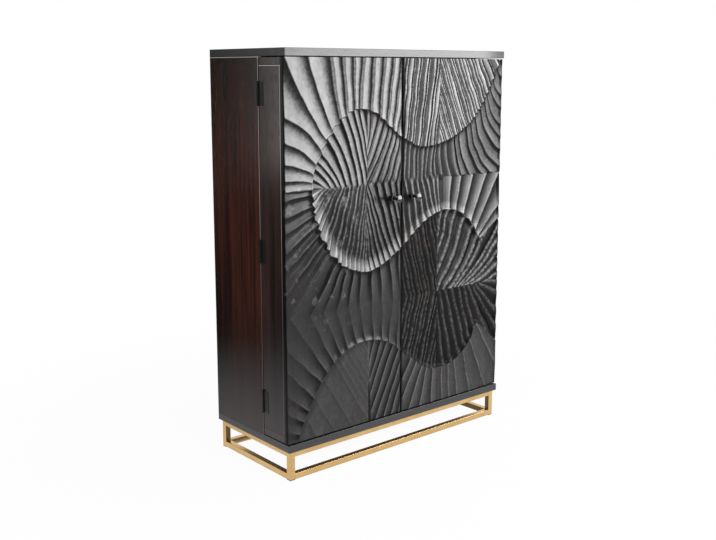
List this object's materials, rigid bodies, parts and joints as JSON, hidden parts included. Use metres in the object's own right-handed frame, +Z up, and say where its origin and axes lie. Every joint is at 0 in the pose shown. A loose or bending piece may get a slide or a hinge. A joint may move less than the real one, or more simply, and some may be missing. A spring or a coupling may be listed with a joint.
{
  "type": "bar armoire",
  "caption": "Tall bar cabinet with deep carved box doors on butt hinges, shelves, wine rack and stemware rails, on an open square-tube base.",
  "frame": {"origin": "on the floor, under the middle of the whole object's box with its knobs and hinge knuckles", "axes": "+Z up, doors face -Y, +X to the right of someone who faces the doors"},
  "size_m": [1.0166, 0.456, 1.4],
  "materials": {
    "side_wood": "dark brown stained hardwood, satin lacquer",
    "board_lacquer": "black stained wood, satin lacquer",
    "carved_lacquer": "carved wood in black satin lacquer",
    "door_wood": "black-brown stained wood, satin lacquer",
    "inner_wood": "brown stained hardwood, satin",
    "brass": "satin brass colour",
    "black_metal": "black, satin",
    "knob_metal": "black, polished",
    "steel": "bright zinc",
    "black_plastic": "moulded, matt"
  },
  "bodies": {
    "cabinet": {"top_board": "board_lacquer", "bottom_board": "board_lacquer", "left_side": "side_wood", "right_side": "side_wood", "back_panel": "inner_wood", "serving_shelf": "inner_wood", "centre_divider": "inner_wood", "upper_shelf": "inner_wood", "lower_shelf": "inner_wood", "wine_rack_rising": "inner_wood", "wine_rack_falling": "inner_wood", "stemware_rails": "inner_wood", "shelf_pins": "steel", "magnetic_catches": "black_plastic", "hinge_frame_leaves": "black_metal", "hinge_pins": "black_metal", "hinge_frame_screws": "black_metal", "base_front_left_post": "brass", "base_front_right_post": "brass", "base_back_left_post": "brass", "base_back_right_post": "brass", "base_front_top_rail": "brass", "base_back_top_rail": "brass", "base_left_top_rail": "brass", "base_right_top_rail": "brass", "base_front_bottom_rail": "brass", "base_back_bottom_rail": "brass", "base_left_bottom_rail": "brass", "base_right_bottom_rail": "brass", "floor_glides": "black_plastic", "base_screws": "steel"},
    "left_door": {"left_door_front": "carved_lacquer", "left_door_outer_side": "door_wood", "left_door_inner_side": "door_wood", "left_door_top": "door_wood", "left_door_bottom": "door_wood", "left_door_low_shelf": "inner_wood", "left_door_high_shelf": "inner_wood", "left_door_rails": "brass", "left_knob": "knob_metal", "left_knob_screw": "steel", "left_door_strikes": "steel", "left_hinge_door_leaves": "black_metal", "left_hinge_door_screws": "black_metal"},
    "right_door": {"right_door_front": "carved_lacquer", "right_door_outer_side": "door_wood", "right_door_inner_side": "door_wood", "right_door_top": "door_wood", "right_door_bottom": "door_wood", "right_door_low_shelf": "inner_wood", "right_door_high_shelf": "inner_wood", "right_door_rails": "brass", "right_knob": "knob_metal", "right_knob_screw": "steel", "right_door_strikes": "steel", "right_hinge_door_leaves": "black_metal", "right_hinge_door_screws": "black_metal"}
  },
  "joints": [
    {"name": "left_door_hinge", "type": "hinge", "parent": "cabinet", "child": "left_door", "pos_m": [-0.5043, -0.0575, 0.75], "axis": [0, 0, -1], "range_deg": [0, 175]},
    {"name": "right_door_hinge", "type": "hinge", "parent": "cabinet", "child": "right_door", "pos_m": [0.5043, -0.0575, 0.75], "axis": [0, 0, 1], "range_deg": [0, 175]}
  ]
}
